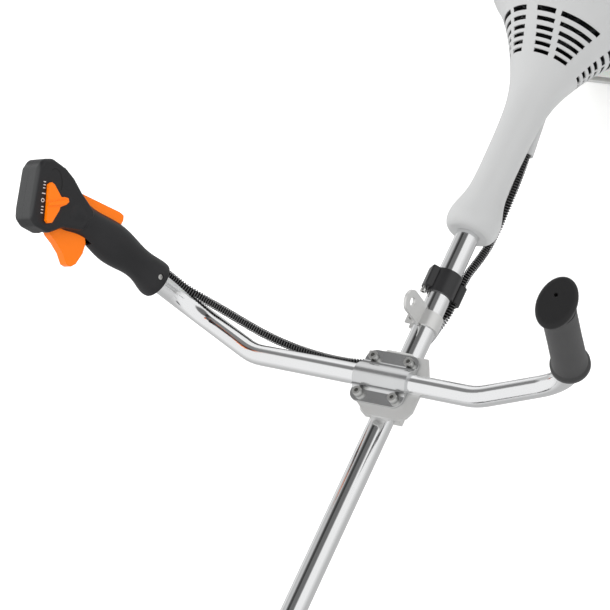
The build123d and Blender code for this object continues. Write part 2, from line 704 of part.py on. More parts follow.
def handlebar_bracket():
    y = CLAMP_Y
    top = BAR_Z - 0.2
    plate_outline = [
        (34, -30), (34, 19), (30, 24), (9, 40), (3, 42), (-34, 42), (-43, 38), (-47, 30), (-47, -14), (-38, -32),
    ]
    plate = Pos(0, y, top - 2.8) * extrude(make_face(Polyline(*plate_outline, close=True)), amount=2.8)
    body = plate + block((-17, 17), (y - 36, y + 38), (-15.5, top - 1), 3)
    body += block((-32, 32), (y - 15, y + 15), (11, top), 2)
    for x in (-SCREW_X, SCREW_X):
        for side in (-SCREW_Y, SCREW_Y):
            body += z_rod(6.2, 9, top - 0.5, x, y + side)
    body -= y_rod(TUBE_R + SEAT_GAP, y - 60, y + 60)
    body -= x_rod(BAR_R + SEAT_GAP, -80, 80, y, BAR_Z)
    body -= block((-40, 40), (y + 30, y + 60), (-30, 9)) & y_rod(40, y + 30, y + 60)
    for x in (-SCREW_X, SCREW_X):
        for side in (-SCREW_Y, SCREW_Y):
            body -= z_rod(3.05, 5, 30, x, y + side)
    return body


def handlebar_clamp():
    y = CLAMP_Y
    flange = Box(65, 61, 3, align=(Align.CENTER, Align.CENTER, Align.MIN))
    flange = fillet(flange.edges().filter_by(Axis.Z), 11)
    body = Pos(0, y, BAR_Z + 0.1) * flange
    hoop = x_rod(BAR_R + 3.1, -32.5, 32.5, y, BAR_Z)
    shoulders = block((-32.5, 32.5), (y - 17, y + 17), (BAR_Z, BAR_Z + 7))
    for side in (-1, 1):
        shoulders -= x_rod(4.2, -40, 40, y + side * 18.4, BAR_Z + 7.2)
    body += (hoop + shoulders) & block((-40, 40), (y - 40, y + 40), (BAR_Z + 0.1, BAR_Z + 40))
    body -= x_rod(BAR_R + SEAT_GAP, -80, 80, y, BAR_Z)
    for x in (-SCREW_X, SCREW_X):
        for side in (-SCREW_Y, SCREW_Y):
            body -= z_rod(3.2, BAR_Z - 5, BAR_Z + 10, x, y + side)
            body -= z_rod(5.3, BAR_Z + 3.1, BAR_Z + 20, x, y + side)
    return body


def clamp_screws():
    screws = []
    for x in (-SCREW_X, SCREW_X):
        for side in (-SCREW_Y, SCREW_Y):
            screws.append(Pos(x, CLAMP_Y + side, BAR_Z + 3.15) * screw(3.0, 18, 5.0, 5.6))
    pinch = Plane(origin=(18.6, CLAMP_Y - 86, -9.2), z_dir=(0, 0, -1))
    screws.append(pinch * screw(2.4, 15, 4.2, 3.6))
    strap = Plane(origin=(13.0, CLAMP_Y - 117.4, 13.0), z_dir=(0, 1, 0))
    screws.append(strap * screw(2.0, 16, 3.4, 3.0))
    return screws


def harness_eye():
    y0 = CLAMP_Y - 94.5
    y1 = CLAMP_Y - 77.0
    body = y_ring(TUBE_R + 2.2, TUBE_R + SEAT_GAP, y0, y1)
    lug = block((-0.6, 2.8), (CLAMP_Y - 98.5, CLAMP_Y - 74.5), (13, 42))
    lug += x_rod(12, -0.6, 2.8, CLAMP_Y - 86.5, 42)
    body += lug - y_rod(TUBE_R + 1, y0 - 20, y1 + 20)
    gusset = block((2.4, 14), (CLAMP_Y - 87.5, CLAMP_Y - 84.5), (10, 27)) - block((0, 20), (0, 900), (-5, 4))
    body += gusset - rod(17, (19, CLAMP_Y - 100, 30), (0, 1, 0), 30) - y_rod(TUBE_R + 1, y0, y1)
    for z in (-8.8, 2.2):
        body += block((11, 24), (CLAMP_Y - 92, CLAMP_Y - 80), (z - 0.4, z + 2.6)) - y_rod(TUBE_R + 1, y0, y1)
    body -= block((10, 30), (y0 - 1, y1 + 1), (-5.8, 1.4))
    body -= z_rod(2.5, -15, 8, 18.6, CLAMP_Y - 86)
    return body - x_rod(5.0, -5, 8, CLAMP_Y - 86.5, 41)


def cable_clip():
    y0 = CLAMP_Y - 146.0
    y1 = CLAMP_Y - 118.0
    body = y_ring(TUBE_R + 2.0, TUBE_R + SEAT_GAP, y0, y1)
    clasp = Rot(0, 45, 0) * block((-8, 8), (y0, y1 - 3), (12, 21.5), 2)
    body += clasp - y_rod(TUBE_R + 1, y0 - 5, y1 + 5)
    x, z = CONDUIT_ROUTE[16][0], CONDUIT_ROUTE[16][2]
    body += y_rod(CONDUIT_R + 2.2, y0 + 3, y1 - 3, x, z) - y_rod(TUBE_R + 1, y0 - 5, y1 + 5)
    body -= y_rod(CONDUIT_R + 0.12, y0 - 5, y1 + 8, x, z)
    return body - y_rod(2.1, y0 + 6, y1 + 8, 13, 13)


def conduit_points():
    return [(x, y + CLAMP_Y, z) for x, y, z in CONDUIT_ROUTE]


def throttle_conduit():
    solid, radii, length = tube_along(conduit_points(), CONDUIT_R, CONDUIT_BORE)
    section = math.pi * (CONDUIT_R ** 2 - CONDUIT_BORE ** 2)
    print("conduit radii", [round(radius) for radius in radii])
    print("conduit length", round(length, 1), "volume over section", round(solid.volume / section, 1))
    return solid


def throttle_cable():
    return tube_along(conduit_points(), CABLE_R)[0]


# ---------------------------------------------------------------- grips and controls

def left_grip():
    sections = [(38, 20.4), (42.5, 20.4), (45.5, 18.2), (60, 17.6), (100, 17.2), (150, 17.2), (166, 17.6)]
    outline = [(0.0, 38.0)] + [(radius, along) for along, radius in sections] + [(0.0, 166.0)]
    body = turned_z(outline)
    rows = [(163, 17.4, 16.8), (168, 20.0, 17.2), (174, 26.2, 18.8), (183, 26.7, 18.8)]
    flange = loft([Pos(-0.5, 0, along) * Ellipse(long, wide) for along, long, wide in rows])
    body += fillet(flange.faces().sort_by(Axis.Z)[-1].edges(), 4.5)
    body -= z_rod(BAR_R + SEAT_GAP, 30, 176.5)
    body -= z_rod(2.2, 170, 190, -6.4, -2.7)
    return RUBBER * body


def grip_body():
    """Whole outer form of the control grip, before it is split into its two shells."""
    rows = [
        (60.5, 0.0, 20.4, 19.6), (66, 0.0, 20.8, 20.0), (82, -1.5, 18.2, 17.0), (112, -2.5, 20.4, 17.0),
        (150, -2.5, 20.6, 17.2), (186, -0.5, 20.4, 16.6), (204, 0.5, 22.5, 16.0),
    ]
    sections = [Pos(shift, 0, along) * Ellipse(forward, across) for along, shift, forward, across in rows]
    stem = loft(sections)
    outline = [
        (-12, 172), (-21.5, 200), (-29, 216), (-32.5, 230), (-32, 250), (-25, 260.5), (-13, 262),
        (27, 248), (37, 243), (40.5, 233), (38, 215), (24, 203), (12, 178),
    ]
    head = grip_plate(outline, HEAD_HALF)
    head = fillet(head.edges().filter_by(Axis.Y), 9)
    rims = head.faces().sort_by(Axis.Y)
    head = fillet(rims[0].edges() + rims[-1].edges(), 4.5)
    return stem + head


def grip_cavity():
    socket = z_rod(BAR_R + SEAT_GAP, 50, 112.3)
    rows = [(116, -2.5, 16.5, 13.5), (150, -2.5, 17.0, 13.8), (186, -0.5, 17.0, 13.4), (206, 0.5, 19.0, 13.0)]
    inside = loft([Pos(shift, 0, along) * Ellipse(a, b) for along, shift, a, b in rows])
    head_room = [(-17, 200), (-28, 218), (-28.5, 248), (-14, 257.5), (25, 244), (36.5, 238), (36, 221), (22, 206)]
    room = socket + inside + grip_plate(head_room, HEAD_HALF - 3)
    room += block((-19.1, -8.2), (-5.4, 5.4), (50, 72.3))
    room += block((-17, -8), (-3, 3), (70, 118))
    room += block((6, 60), (-6.2, 6.2), (158, 218))
    room += block((-50, -8), (-5.4, 5.4), (131, 204))
    return room


def control_grip_half(side):
    low, high = (0.05, 60.0) if side > 0 else (-60.0, -0.05)
    body = grip_body() - grip_cavity()
    body = body & block((-80, 80), (low, high), (40, 300))
    bosses = []
    for forward, along in ((2, 150), (-24, 226)):
        reach = HEAD_HALF - 1.5 if along > 200 else 15
        span = (low, reach) if side > 0 else (-reach, high)
        post = Plane(origin=(forward, span[0], along), z_dir=(0, 1, 0)) * Cylinder(
            3.6, span[1] - span[0], align=(Align.CENTER, Align.CENTER, Align.MIN))
        bosses.append(post)
    body += bosses
    for forward, along, entry in GRIP_SCREWS:
        body -= screw_hole(forward, along, entry)
    if side > 0:
        body -= switch_block(27.0, 5.4, HEAD_HALF - 6, HEAD_HALF + 2)
    for forward, along in (TRIGGER_PIVOT, LOCKOUT_PIVOT):
        body += lever_pin(forward, along, 2.0, side)
    return GRIP * body


def screw_reach(along):
    """How far a grip screw's seat stands from the parting plane."""
    if along > 200:
        return HEAD_HALF - 1.0
    return 17.6 if along < 100 else 15.2


def screw_length(along):
    """The lowest screw ends inside the handlebar's wall, the others cross into the other shell."""
    return 9.5 if along < 100 else 21.0


def screw_hole(forward, along, entry):
    """Shank hole and head seat of a grip screw that goes in from the given side."""
    seat = Plane(origin=(forward, entry * screw_reach(along), along), z_dir=(0, entry, 0))
    return seat * (z_rod(1.65, -screw_length(along) - 0.5, 0) + z_rod(3.15, 0, 10))


def lever_pin(forward, along, radius, side):
    """Half of a moulded pivot pin that reaches from one shell to the parting plane."""
    start = 0.05 if side > 0 else -13.5
    pin = Cylinder(radius, 13.45, align=(Align.CENTER, Align.CENTER, Align.MIN))
    return Plane(origin=(forward, start, along), z_dir=(0, 1, 0)) * pin


SWITCH_CENTRE = (11.0, 229.0)
SWITCH_LINE = (0.882, -0.471)


def switch_block(length, width, low, high):
    """Bar along the stop switch's line of travel, on the grip's inner face."""
    angle = math.degrees(math.atan2(SWITCH_LINE[1], SWITCH_LINE[0]))
    bar = Box(length, high - low, width)
    turned = Rot(0, -angle, 0) * bar
    return Pos(SWITCH_CENTRE[0], (low + high) / 2, SWITCH_CENTRE[1]) * turned


def stop_switch():
    outline = [
        (-7.3, 242.3), (-3.2, 244.3), (16, 234.8), (31, 228), (32, 224.5), (29, 220.6), (13, 219.2), (9.3, 220),
        (3, 214.6), (-1.5, 213), (-4.4, 215.8), (-2.7, 220.6), (-0.4, 223.8), (-7.2, 238),
    ]
    ridge_line = [(13.5, 236), (17, 234.3), (4.5, 216.8), (-0.5, 214.4), (-2.6, 216.4)]
    plate = grip_plate(outline, HEAD_HALF + 4.2, HEAD_HALF + 0.3)
    plate = fillet(plate.edges().filter_by(Axis.Y), 1.0)
    plate += grip_plate(ridge_line, HEAD_HALF + 5.6, HEAD_HALF + 3)
    stem = switch_block(10.0, 4.8, HEAD_HALF - 5, HEAD_HALF + 1)
    return GRIP * (plate + stem)


def throttle_trigger():
    outline = [
        (5, 214), (20, 213), (31, 212.5), (35, 207), (38, 196), (43, 184), (50.5, 174), (50, 168), (44, 164),
        (30, 162), (19, 164), (9, 172), (4, 188), (3, 204),
    ]
    lever = grip_plate(outline, 5.7)
    lever = fillet(lever.edges().filter_by(Axis.Y), 2.2)
    hole = Plane(origin=(TRIGGER_PIVOT[0], -10, TRIGGER_PIVOT[1]), z_dir=(0, 1, 0)) * Cylinder(
        2.0 + RUNNING_GAP, 20, align=(Align.CENTER, Align.CENTER, Align.MIN))
    return GRIP * (lever - hole)


def throttle_lockout():
    outline = [
        (-10.5, 200), (-20, 202), (-24.5, 194), (-34.5, 142), (-34, 136), (-29, 133.8), (-18, 134.5), (-11.5, 150),
        (-10, 190),
    ]
    lever = grip_plate(outline, 5.0)
    lever = fillet(lever.edges().filter_by(Axis.Y), 1.8)
    hole = Plane(origin=(LOCKOUT_PIVOT[0], -10, LOCKOUT_PIVOT[1]), z_dir=(0, 1, 0)) * Cylinder(
        2.0 + RUNNING_GAP, 20, align=(Align.CENTER, Align.CENTER, Align.MIN))
    return GRIP * (lever - hole)


def control_grip_inner():
    return control_grip_half(1)


def control_grip_outer():
    return control_grip_half(-1)


NODES = [
    drive_tube, shaft_bushings, fan_housing, crankcase, cylinder, piston, connecting_rod, crankshaft, flywheel,
    clutch_carrier, clutch_shoes, ball_bearings, spark_plug, plug_boot, ignition_coil, muffler, muffler_guard,
    carburettor, air_filter_element, engine_cover, fuel_tank, tank_stand, starter_cover, housing_screws,
    handlebar, handlebar_bracket, handlebar_clamp, clamp_screws, harness_eye, cable_clip, throttle_conduit,
    throttle_cable, left_grip, control_grip_inner, control_grip_outer, gearbox_housing, guard, line_cutter,
    drive_shaft, clutch_drum, pinion_gear, output_gear, output_shaft, thrust_plate, head_shell, line_spool,
    wound_line, cutting_line, bump_knob, feed_spring, throttle_trigger, throttle_lockout, stop_switch,
    starter_handle, starter_rope, starter_pulley, choke_lever, primer_bulb, fuel_cap, air_filter_cover,
]


def save(make):
    """Build one node, lift it so that the foot stands on the floor, and write its STEP file."""
    made = make()
    solids = made if isinstance(made, list) else [made]
    lifted = [Pos(0, 0, SHAFT_HEIGHT) * solid for solid in solids]
    node = lifted[0] if len(lifted) == 1 else Compound(children=lifted)
    node.label = make.__name__
    export_step(node, "parts/" + make.__name__ + ".step")


def main():
    os.makedirs("parts", exist_ok=True)
    for make in NODES:
        save(make)


if __name__ == "__main__":
    main()
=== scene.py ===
import math
import bpy
from mathutils import Matrix, Vector


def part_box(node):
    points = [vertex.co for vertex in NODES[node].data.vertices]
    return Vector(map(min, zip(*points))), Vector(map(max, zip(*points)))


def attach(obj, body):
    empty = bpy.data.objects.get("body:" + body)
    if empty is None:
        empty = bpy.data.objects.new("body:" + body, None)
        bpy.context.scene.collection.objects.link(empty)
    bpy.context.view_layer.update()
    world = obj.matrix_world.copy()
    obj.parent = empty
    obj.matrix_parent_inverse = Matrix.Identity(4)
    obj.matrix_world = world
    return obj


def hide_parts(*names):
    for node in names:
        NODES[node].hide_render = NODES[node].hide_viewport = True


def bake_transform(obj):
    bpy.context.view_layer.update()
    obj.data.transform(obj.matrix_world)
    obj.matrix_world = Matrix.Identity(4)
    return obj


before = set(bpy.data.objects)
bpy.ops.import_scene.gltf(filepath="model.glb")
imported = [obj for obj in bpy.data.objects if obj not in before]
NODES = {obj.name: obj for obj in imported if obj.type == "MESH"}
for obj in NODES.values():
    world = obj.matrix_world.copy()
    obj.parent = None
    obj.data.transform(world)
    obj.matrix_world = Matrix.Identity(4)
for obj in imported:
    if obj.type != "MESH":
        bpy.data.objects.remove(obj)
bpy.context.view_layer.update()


# ---- Studio ----
# A bright sweep with a pale floor. The ceiling has dark patches above the camera, so that polished
# tubes show one long dark band, and two hidden soft boxes fill the tops and the right side.
FLOOR_SIZE = 14.0
FLOOR_GLOW = 0.3
LOW_LEVEL = 0.42
HIGH_LEVEL = 0.74
MIRROR_BOOST = 1.32
DARK_PATCHES = (
    (Vector((-0.08, -0.38, 0.92)), math.cos(math.radians(22)), math.cos(math.radians(32)), 0.17),
    (Vector((0.42, -0.38, 0.82)), math.cos(math.radians(13)), math.cos(math.radians(22)), 0.25),
    (Vector((0.85, -0.38, 0.40)), math.cos(math.radians(10)), math.cos(math.radians(26)), 0.6),
)

camera_data = bpy.data.cameras.new("camera")
camera_data.lens = 171.0
camera_data.sensor_width = 36.0
camera_data.clip_start = 0.05
camera_data.clip_end = 60.0
camera = bpy.data.objects.new("camera", camera_data)
camera.matrix_world = Matrix((
    (-0.812431, 0.148518, -0.563825, -1.61004),
    (-0.405678, -0.838553, 0.363667, 1.60541),
    (-0.418786, 0.524186, 0.741517, 2.47014),
    (0.0, 0.0, 0.0, 1.0),
))
bpy.context.collection.objects.link(camera)
bpy.context.scene.camera = camera
bpy.context.scene.view_settings.view_transform = "Standard"

world = bpy.data.worlds.new("studio")
bpy.context.scene.world = world
world.use_nodes = True
sky = world.node_tree
backdrop = sky.nodes["Background"]
backdrop.inputs["Color"].default_value = (1.0, 1.0, 1.0, 1.0)
looking = sky.nodes.new("ShaderNodeTexCoord")
height = sky.nodes.new("ShaderNodeSeparateXYZ")
sky.links.new(looking.outputs["Generated"], height.inputs["Vector"])
horizon = sky.nodes.new("ShaderNodeMapRange")
horizon.inputs["From Min"].default_value = -0.6
horizon.inputs["From Max"].default_value = 0.1
horizon.inputs["To Min"].default_value = LOW_LEVEL
horizon.inputs["To Max"].default_value = HIGH_LEVEL
sky.links.new(height.outputs["Z"], horizon.inputs["Value"])
level = horizon.outputs["Result"]
for patch_way, patch_inner, patch_outer, patch_level in DARK_PATCHES:
    towards = sky.nodes.new("ShaderNodeVectorMath")
    towards.operation = "DOT_PRODUCT"
    towards.inputs[1].default_value = patch_way.normalized()
    sky.links.new(looking.outputs["Generated"], towards.inputs[0])
    fade = sky.nodes.new("ShaderNodeMapRange")
    fade.interpolation_type = "SMOOTHSTEP"
    fade.inputs["From Min"].default_value = patch_outer
    fade.inputs["From Max"].default_value = patch_inner
    fade.inputs["To Min"].default_value = 1.0
    fade.inputs["To Max"].default_value = patch_level
    sky.links.new(towards.outputs["Value"], fade.inputs["Value"])
    dimmed = sky.nodes.new("ShaderNodeMath")
    dimmed.operation = "MULTIPLY"
    sky.links.new(level, dimmed.inputs[0])
    sky.links.new(fade.outputs["Result"], dimmed.inputs[1])
    level = dimmed.outputs["Value"]
rays = sky.nodes.new("ShaderNodeLightPath")
boost = sky.nodes.new("ShaderNodeMapRange")
boost.inputs["To Min"].default_value = 1.0
boost.inputs["To Max"].default_value = MIRROR_BOOST
sky.links.new(rays.outputs["Is Glossy Ray"], boost.inputs["Value"])
mirrored = sky.nodes.new("ShaderNodeMath")
mirrored.operation = "MULTIPLY"
sky.links.new(level, mirrored.inputs[0])
sky.links.new(boost.outputs["Result"], mirrored.inputs[1])
sky.links.new(mirrored.outputs["Value"], backdrop.inputs["Strength"])


def soft_box(name, place, target, size, watts, glossy):
    """A square lamp that looks at a point. One with glossy off fills shadows and isn't mirrored."""
    data = bpy.data.lights.new(name, "AREA")
    data.size = size
    data.energy = watts
    lamp = bpy.data.objects.new(name, data)
    lamp.location = place
    lamp.rotation_mode = "QUATERNION"
    lamp.rotation_quaternion = (Vector(target) - Vector(place)).to_track_quat("-Z", "Y")
    lamp.visible_glossy = glossy
    lamp.visible_camera = False
    bpy.context.collection.objects.link(lamp)


AIM = (0.0, 0.45, 0.2)
soft_box("ceiling_fill", (0.4, 0.2, 4.2), AIM, 3.4, 104.0, False)
soft_box("side_box", (3.0, -0.6, 1.6), AIM, 1.6, 17.0, False)


def node(tree, kind, **settings):
    """A new shader or geometry node with its plain settings set."""
    made = tree.nodes.new(kind)
    for key, value in settings.items():
        setattr(made, key, value)
    return made


def surface(name, colour, roughness, metallic=0.0, grain=0.0006, depth=0.15, tone=0.06, rough_spread=0.06,
            edge=0.0, coat=0.0, sheen=0.0, light=0.0, mirror=0.5, glow=0.0):
    """A finish with fine grain in its relief, slow drifts in its tone, and uneven gloss.

    grain is the size of the relief in metres, depth its strength, and edge the radius of worn edges.
    mirror is the strength of the plain reflection, and glow is painted light: emission in the finish's colour.
    """
    made = bpy.data.materials.new(name)
    made.use_nodes = True
    tree = made.node_tree
    shader = tree.nodes["Principled BSDF"]
    shader.inputs["Metallic"].default_value = metallic
    shader.inputs["Coat Weight"].default_value = coat
    shader.inputs["Sheen Weight"].default_value = sheen
    shader.inputs["Subsurface Weight"].default_value = light
    shader.inputs["Subsurface Scale"].default_value = 0.01
    shader.inputs["Specular IOR Level"].default_value = mirror
    shader.inputs["Emission Color"].default_value = (*colour, 1.0)
    shader.inputs["Emission Strength"].default_value = glow
    place = node(tree, "ShaderNodeTexCoord")
    fine = node(tree, "ShaderNodeTexNoise")
    fine.inputs["Scale"].default_value = 1.0 / grain
    fine.inputs["Detail"].default_value = 3.0
    slow = node(tree, "ShaderNodeTexNoise")
    slow.inputs["Scale"].default_value = 14.0
    slow.inputs["Detail"].default_value = 5.0
    tree.links.new(place.outputs["Object"], fine.inputs["Vector"])
    tree.links.new(place.outputs["Object"], slow.inputs["Vector"])
    tint = node(tree, "ShaderNodeMix", data_type="RGBA")
    tint.inputs["A"].default_value = (*[max(c * (1.0 - tone), 0.0) for c in colour], 1.0)
    tint.inputs["B"].default_value = (*[min(c * (1.0 + tone), 1.0) for c in colour], 1.0)
    tree.links.new(slow.outputs["Fac"], tint.inputs["Factor"])
    tree.links.new(tint.outputs["Result"], shader.inputs["Base Color"])
    gloss = node(tree, "ShaderNodeMapRange")
    gloss.inputs["To Min"].default_value = max(roughness - rough_spread, 0.02)
    gloss.inputs["To Max"].default_value = min(roughness + rough_spread, 1.0)
    tree.links.new(slow.outputs["Fac"], gloss.inputs["Value"])
    tree.links.new(gloss.outputs["Result"], shader.inputs["Roughness"])
    relief = node(tree, "ShaderNodeBump")
    relief.inputs["Strength"].default_value = depth
    relief.inputs["Distance"].default_value = grain * 0.4
    tree.links.new(fine.outputs["Fac"], relief.inputs["Height"])
    if edge:
        soft = node(tree, "ShaderNodeBevel", samples=6)
        soft.inputs["Radius"].default_value = edge
        tree.links.new(soft.outputs["Normal"], relief.inputs["Normal"])
    tree.links.new(relief.outputs["Normal"], shader.inputs["Normal"])
    return made


def dress(material, *names):
    """Gives CAD nodes their finish."""
    for name in names:
        slots = NODES[name].data.materials
        slots.clear()
        slots.append(material)


def add_floor():
    data = bpy.data.meshes.new("floor")
    half = FLOOR_SIZE / 2
    corners = [(-half, -half, 0.0), (half, -half, 0.0), (half, half, 0.0), (-half, half, 0.0)]
    data.from_pydata(corners, [], [(0, 1, 2, 3)])
    floor = bpy.data.objects.new("floor", data)
    bpy.context.collection.objects.link(floor)
    paper = surface("floor_paper", (0.95, 0.95, 0.95), 0.7, grain=0.003, depth=0.02, tone=0.01)
    paper_shader = paper.node_tree.nodes["Principled BSDF"]
    paper_shader.inputs["Emission Color"].default_value = (1.0, 1.0, 1.0, 1.0)
    paper_shader.inputs["Emission Strength"].default_value = FLOOR_GLOW
    floor.data.materials.append(paper)
    floor.visible_glossy = False


add_floor()


# ---- Drive tube and handlebar ----
# Drawn aluminium tube, 25.4 mm for the drive and 22.2 mm for the bar, polished along its length, so
# the gloss is uneven in long thin streaks. The bar is bent cold, and clamped near its middle.
TUBE_STREAK = (900.0, 6.0, 900.0)
BAR_STREAK = (6.0, 900.0, 900.0)


def polished(name, streak):
    """Polished metal whose fine scratches run along one axis."""
    made = surface(name, (0.84, 0.845, 0.85), 0.12, metallic=1.0, grain=1.0, depth=0.0, tone=0.03,
                   rough_spread=0.05)
    tree = made.node_tree
    shader = tree.nodes["Principled BSDF"]
    place = node(tree, "ShaderNodeTexCoord")
    mapping = node(tree, "ShaderNodeMapping")
    mapping.inputs["Scale"].default_value = streak
    scratches = node(tree, "ShaderNodeTexNoise")
    scratches.inputs["Scale"].default_value = 1.0
    scratches.inputs["Detail"].default_value = 4.0
    relief = node(tree, "ShaderNodeBump")
    relief.inputs["Strength"].default_value = 0.16
    relief.inputs["Distance"].default_value = 0.00012
    tree.links.new(place.outputs["Object"], mapping.inputs["Vector"])
    tree.links.new(mapping.outputs["Vector"], scratches.inputs["Vector"])
    tree.links.new(scratches.outputs["Fac"], relief.inputs["Height"])
    tree.links.new(relief.outputs["Normal"], shader.inputs["Normal"])
    return made


dress(polished("drawn_tube", TUBE_STREAK), "drive_tube")
dress(polished("drawn_bar", BAR_STREAK), "handlebar")


# ---- Clamp, bracket and harness eye ----
# The bar sits in a cast aluminium saddle on a bracket round the drive tube, under a pressed hoop. The
# harness eye is a bent strip with one pinch screw. All three are tumbled to a satin finish.
satin_alloy = surface("satin_alloy", (0.64, 0.645, 0.65), 0.22, metallic=1.0, grain=0.0009, depth=0.14,
                      tone=0.12, rough_spread=0.08)
tumbled_alloy = surface("tumbled_alloy", (0.70, 0.70, 0.69), 0.38, metallic=0.65, grain=0.0009, depth=0.2,
                        tone=0.06, rough_spread=0.1)
dress(satin_alloy, "handlebar_clamp")
dress(tumbled_alloy, "handlebar_bracket", "harness_eye")


# ---- Screws ----
# Zinc plated steel: six hexagon socket cap screws at the clamp, and small pan heads in the plastics.
# The sockets and crevices are darkened with painted shade, from an occlusion node on the base colour.
zinc = surface("zinc_plate", (0.74, 0.74, 0.72), 0.28, metallic=1.0, grain=0.0005, depth=0.15, tone=0.08,
               rough_spread=0.07, edge=0.0003)
SOCKET_DEPTH = 0.0035
# Painted shade: ambient occlusion darkens the base colour in the sockets and crevices.
socket_shade = node(zinc.node_tree, "ShaderNodeAmbientOcclusion", samples=8)
socket_shade.inputs["Distance"].default_value = SOCKET_DEPTH
zinc_shader = zinc.node_tree.nodes["Principled BSDF"]
zinc.node_tree.links.new(zinc_shader.inputs["Base Color"].links[0].from_socket, socket_shade.inputs["Color"])
zinc.node_tree.links.new(socket_shade.outputs["Color"], zinc_shader.inputs["Base Color"])
dress(zinc, "clamp_screws", "housing_screws")


# ---- Engine shrouds ----
# Injection moulded light grey nylon: the fan housing with its long neck over the tube, and the paler
# engine cover and tank stand behind it. The surface is a fine satin spark texture with soft edges.
housing_grey = surface("housing_grey", (0.565, 0.57, 0.57), 0.36, grain=0.0005, depth=0.10, tone=0.015,
                       rough_spread=0.04, edge=0.0006)
cover_grey = surface("cover_grey", (0.66, 0.665, 0.66), 0.4, grain=0.0005, depth=0.12, tone=0.015,
                     rough_spread=0.04, edge=0.0006)
SHAFT_HEIGHT = 0.148
FLARE_FRONT = 0.145
FLARE_RADIUS = 0.0341
FLARE_SLOPE = 0.4093
FLARE_CURVE = 2.933
WEB_REACH = 0.006


def arithmetic(tree, operation, first, second):
    """One step of shader arithmetic on sockets or plain numbers."""
    made = node(tree, "ShaderNodeMath", operation=operation)
    for socket, value in zip(made.inputs, (first, second)):
        if isinstance(value, float):
            socket.default_value = value
        else:
            tree.links.new(value, socket)
    return made.outputs["Value"]


def paint_shade_inside(material):
    """The flare's inner face and web are painted near black as painted shade, which the slots show as black."""
    tree = material.node_tree
    shader = tree.nodes["Principled BSDF"]
    place = node(tree, "ShaderNodeTexCoord")
    split = node(tree, "ShaderNodeSeparateXYZ")
    tree.links.new(place.outputs["Object"], split.inputs["Vector"])
    height = arithmetic(tree, "SUBTRACT", split.outputs["Z"], SHAFT_HEIGHT)
    squares = [arithmetic(tree, "MULTIPLY", way, way) for way in (split.outputs["X"], height)]
    radius = arithmetic(tree, "SQRT", arithmetic(tree, "ADD", *squares), 0.0)
    back = arithmetic(tree, "SUBTRACT", FLARE_FRONT, split.outputs["Y"])
    slope = arithmetic(tree, "ADD", arithmetic(tree, "MULTIPLY", back, FLARE_CURVE), FLARE_SLOPE)
    wall = arithmetic(tree, "ADD", arithmetic(tree, "MULTIPLY", back, slope), FLARE_RADIUS)
    inside = arithmetic(tree, "LESS_THAN", radius, wall)
    behind = arithmetic(tree, "GREATER_THAN", back, -WEB_REACH)
    # Painted shade: inside the flare the base colour is mixed to near black.
    blend = node(tree, "ShaderNodeMix", data_type="RGBA")
    blend.inputs["B"].default_value = (0.006, 0.006, 0.006, 1.0)
    tree.links.new(arithmetic(tree, "MULTIPLY", inside, behind), blend.inputs["Factor"])
    tree.links.new(shader.inputs["Base Color"].links[0].from_socket, blend.inputs["A"])
    tree.links.new(blend.outputs["Result"], shader.inputs["Base Color"])


paint_shade_inside(housing_grey)
dress(housing_grey, "fan_housing")
dress(cover_grey, "engine_cover", "tank_stand")


# ---- Black mouldings ----
# Glass filled black nylon: starter cover and handle, cable clip, caps and the head shell.
# It is matt where it left the spark eroded mould, with a faint brown cast.
black_nylon = surface("black_nylon", (0.017, 0.017, 0.018), 0.36, grain=0.0006, depth=0.2, tone=0.2,
                      rough_spread=0.08)
dress(black_nylon, "starter_cover", "starter_handle", "starter_pulley", "cable_clip",
      "choke_lever", "fuel_cap", "air_filter_cover", "head_shell", "bump_knob", "muffler_guard",
      "shaft_bushings", "ignition_coil")


# ---- Guard ----
# Deep charcoal polypropylene with a coarse anti-scratch grain, ribbed above and open to the front.
guard_grain = surface("guard_grain", (0.045, 0.046, 0.048), 0.5, grain=0.0012, depth=0.4, tone=0.12,
                      rough_spread=0.08, edge=0.001)
dress(guard_grain, "guard")


# ---- Castings ----
# Sand and die cast aluminium: crankcase, cylinder, piston, flywheel, carburettor and the gearbox. The
# skin is dull and slightly pebbled.
casting = surface("casting", (0.42, 0.43, 0.44), 0.48, metallic=1.0, grain=0.0011, depth=0.5, tone=0.12,
                  rough_spread=0.12, edge=0.0006)
dress(casting, "crankcase", "cylinder", "piston", "flywheel", "carburettor", "gearbox_housing")


# ---- Ground and hardened steel ----
# Shafts, gears, bearings, clutch parts and the line cutter, turned and ground to a fine finish, and
# springs of drawn wire. The clutch is oil blackened, and heat has browned the muffler's sheet.
ground_steel = surface("ground_steel", (0.52, 0.52, 0.53), 0.26, metallic=1.0, grain=0.0004, depth=0.2,
                       tone=0.08, rough_spread=0.08)
dress(ground_steel, "connecting_rod", "crankshaft", "ball_bearings", "line_cutter", "drive_shaft",
      "pinion_gear", "output_gear", "output_shaft", "thrust_plate", "throttle_cable")
blued_steel = surface("blued_steel", (0.03, 0.031, 0.034), 0.45, metallic=0.8, grain=0.0006, depth=0.2,
                      tone=0.2)
dress(blued_steel, "clutch_drum", "clutch_carrier", "clutch_shoes")
heated_steel = surface("heated_steel", (0.26, 0.22, 0.19), 0.5, metallic=0.9, grain=0.002, depth=0.2,
                       tone=0.35, rough_spread=0.15)
dress(heated_steel, "muffler")


